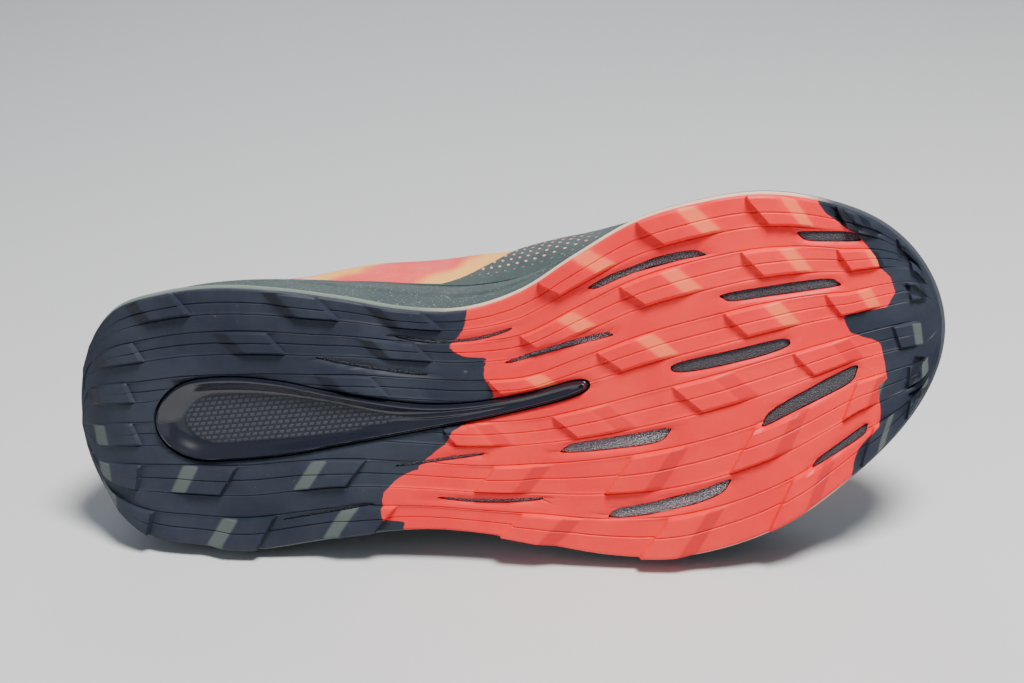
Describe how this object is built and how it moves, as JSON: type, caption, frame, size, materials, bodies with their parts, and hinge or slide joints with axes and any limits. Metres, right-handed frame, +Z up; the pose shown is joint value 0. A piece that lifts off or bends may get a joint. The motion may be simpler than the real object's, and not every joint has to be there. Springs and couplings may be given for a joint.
{
  "type": "trail running shoe",
  "caption": "Left trail running shoe on its outer side: stepped rubber tread with a heel window, foam midsole, hollow mesh upper, padded cuff, tongue and laces.",
  "frame": {"origin": "centre of the shoe's box in plan, on the floor that it lies on", "axes": "+X from the heel to the toe, +Y from the tread towards the collar, +Z up, from the outer side of the shoe to its inner side"},
  "size_m": [0.2928, 0.123, 0.1187],
  "materials": {
    "outsole_rubber": "satin moulded rubber, coral over the forefoot and dark bluish grey at the heel",
    "plate_plastic": "glossy, with a woven floor in the window",
    "midsole_foam": "matt moulded foam, grey-teal with a fine speckle",
    "insole_board": "matt knit over foam",
    "upper_mesh": "coral engineered mesh with large yellow waves",
    "rand_film": "matt welded film with pinholes",
    "eyestay_film": "matt welded film",
    "lining_knit": "soft knit over padding",
    "lace_cord": "flat woven cord"
  },
  "bodies": {
    "root": {"outsole": "outsole_rubber", "plate": "plate_plastic", "midsole": "midsole_foam", "insole": "insole_board", "upper": "upper_mesh", "rand": "rand_film", "eyestay": "eyestay_film", "cuff": "lining_knit", "tongue": "lining_knit", "lace": "lace_cord"}
  },
  "joints": []
}
